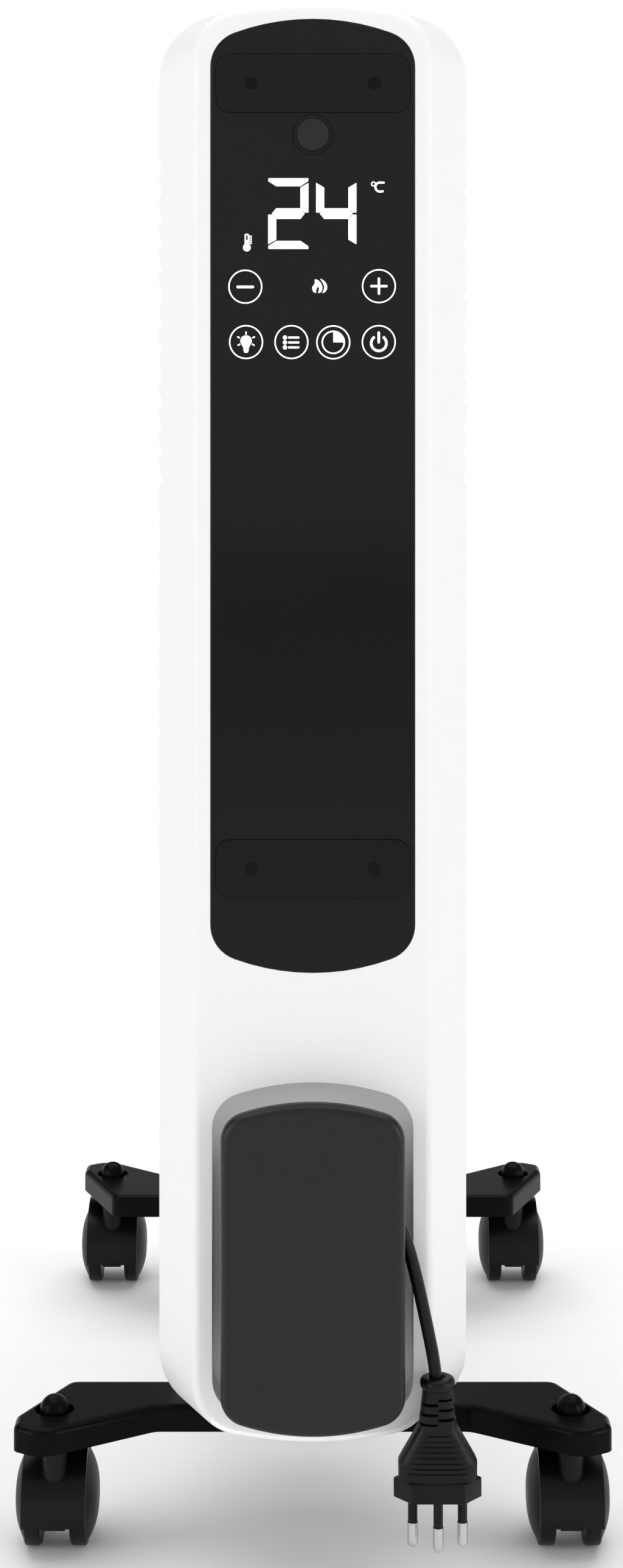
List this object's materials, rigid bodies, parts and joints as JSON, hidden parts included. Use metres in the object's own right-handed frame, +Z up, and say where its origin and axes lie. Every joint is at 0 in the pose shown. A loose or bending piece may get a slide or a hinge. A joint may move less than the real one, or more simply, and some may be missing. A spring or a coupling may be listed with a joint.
{
  "type": "oil filled radiator heater",
  "caption": "Wheeled oil filled radiator with a touch control front, a lit temperature display, a cord bay with a cover plate, and a mains cord with its plug.",
  "frame": {"origin": "on the floor, under the middle of the bounding box of everything but the free cord", "axes": "+Z up, -Y is the front with the control panel, +X is to the right seen from the front"},
  "size_m": [0.2368, 0.389, 0.612],
  "materials": {
    "housing_white": "satin moulded",
    "rear_white": "fine texture",
    "panel_glass": "polished glass, printed black",
    "trim_black": "satin",
    "button_grey": "matte",
    "cover_grey": "satin",
    "drum_black": "matte",
    "board_green": "solder mask",
    "component_black": "moulded",
    "cord_black": "satin",
    "plug_black": "moulded",
    "pin_metal": "nickel plated",
    "fin_white": "powder coat",
    "foot_black": "semi-gloss moulded",
    "castor_black": "moulded nylon",
    "steel_zinc": "zinc plated",
    "element_steel": "plain",
    "brass_fitting": "machined"
  },
  "bodies": {
    "root": {"front_housing": "housing_white", "rear_housing": "rear_white", "housing_screws": "steel_zinc", "control_panel": "panel_glass", "trim_plates": "trim_black", "trim_plugs": "drum_black", "button_switch": "component_black", "display_module": "component_black", "control_board": "board_green", "power_board": "board_green", "relays": "component_black", "terminal_block": "component_black", "tilt_switch": "component_black", "room_sensor": "component_black", "winder_core": "drum_black", "winder_cover": "cover_grey", "winder_screws": "steel_zinc", "cord_gland": "drum_black", "cord_coil": "cord_black", "cord_tail": "cord_black", "plug_body": "plug_black", "plug_pins": "pin_metal", "pin_sleeves": "plug_black", "hub_collars": "fin_white", "hub_end_caps": "fin_white", "heating_element": "element_steel", "element_flange": "brass_fitting", "filler_plug": "brass_fitting", "thermal_cutout": "component_black", "front_foot": "foot_black", "rear_foot": "foot_black", "u_bolt": "steel_zinc", "wing_nuts": "steel_zinc", "foot_screws": "steel_zinc", "castor_stems": "foot_black", "wiring_harness": "cord_black", "fin_1": "fin_white", "fin_2": "fin_white", "fin_3": "fin_white", "fin_4": "fin_white", "fin_5": "fin_white", "fin_6": "fin_white", "fin_7": "fin_white"},
    "power_button": {"power_button": "button_grey"},
    "castor_front_left": {"castor_hood_front_left": "castor_black", "castor_axle_front_left": "steel_zinc"},
    "wheel_front_left_inner": {"wheel_front_left_inner": "castor_black"},
    "wheel_front_left_outer": {"wheel_front_left_outer": "castor_black"},
    "castor_front_right": {"castor_hood_front_right": "castor_black", "castor_axle_front_right": "steel_zinc"},
    "wheel_front_right_inner": {"wheel_front_right_inner": "castor_black"},
    "wheel_front_right_outer": {"wheel_front_right_outer": "castor_black"},
    "castor_rear_left": {"castor_hood_rear_left": "castor_black", "castor_axle_rear_left": "steel_zinc"},
    "wheel_rear_left_inner": {"wheel_rear_left_inner": "castor_black"},
    "wheel_rear_left_outer": {"wheel_rear_left_outer": "castor_black"},
    "castor_rear_right": {"castor_hood_rear_right": "castor_black", "castor_axle_rear_right": "steel_zinc"},
    "wheel_rear_right_inner": {"wheel_rear_right_inner": "castor_black"},
    "wheel_rear_right_outer": {"wheel_rear_right_outer": "castor_black"}
  },
  "joints": [
    {"name": "button_press", "type": "slide", "parent": "root", "child": "power_button", "axis": [0, 1, 0], "range_m": [0, 0.001], "stiffness_N_per_m": 1500},
    {"name": "swivel_front_left", "type": "hinge", "parent": "root", "child": "castor_front_left", "pos_m": [-0.102, -0.1455, 0.04], "axis": [0, 0, 1], "continuous": true},
    {"name": "roll_front_left_inner", "type": "hinge", "parent": "castor_front_left", "child": "wheel_front_left_inner", "pos_m": [-0.102, -0.1315, 0.019], "axis": [1, 0, 0], "continuous": true},
    {"name": "roll_front_left_outer", "type": "hinge", "parent": "castor_front_left", "child": "wheel_front_left_outer", "pos_m": [-0.102, -0.1315, 0.019], "axis": [1, 0, 0], "continuous": true},
    {"name": "swivel_front_right", "type": "hinge", "parent": "root", "child": "castor_front_right", "pos_m": [0.102, -0.1455, 0.04], "axis": [0, 0, 1], "continuous": true},
    {"name": "roll_front_right_inner", "type": "hinge", "parent": "castor_front_right", "child": "wheel_front_right_inner", "pos_m": [0.102, -0.1315, 0.019], "axis": [1, 0, 0], "continuous": true},
    {"name": "roll_front_right_outer", "type": "hinge", "parent": "castor_front_right", "child": "wheel_front_right_outer", "pos_m": [0.102, -0.1315, 0.019], "axis": [1, 0, 0], "continuous": true},
    {"name": "swivel_rear_left", "type": "hinge", "parent": "root", "child": "castor_rear_left", "pos_m": [-0.102, 0.1615, 0.04], "axis": [0, 0, 1], "continuous": true},
    {"name": "roll_rear_left_inner", "type": "hinge", "parent": "castor_rear_left", "child": "wheel_rear_left_inner", "pos_m": [-0.102, 0.1755, 0.019], "axis": [1, 0, 0], "continuous": true},
    {"name": "roll_rear_left_outer", "type": "hinge", "parent": "castor_rear_left", "child": "wheel_rear_left_outer", "pos_m": [-0.102, 0.1755, 0.019], "axis": [1, 0, 0], "continuous": true},
    {"name": "swivel_rear_right", "type": "hinge", "parent": "root", "child": "castor_rear_right", "pos_m": [0.102, 0.1615, 0.04], "axis": [0, 0, 1], "continuous": true},
    {"name": "roll_rear_right_inner", "type": "hinge", "parent": "castor_rear_right", "child": "wheel_rear_right_inner", "pos_m": [0.102, 0.1755, 0.019], "axis": [1, 0, 0], "continuous": true},
    {"name": "roll_rear_right_outer", "type": "hinge", "parent": "castor_rear_right", "child": "wheel_rear_right_outer", "pos_m": [0.102, 0.1755, 0.019], "axis": [1, 0, 0], "continuous": true}
  ]
}
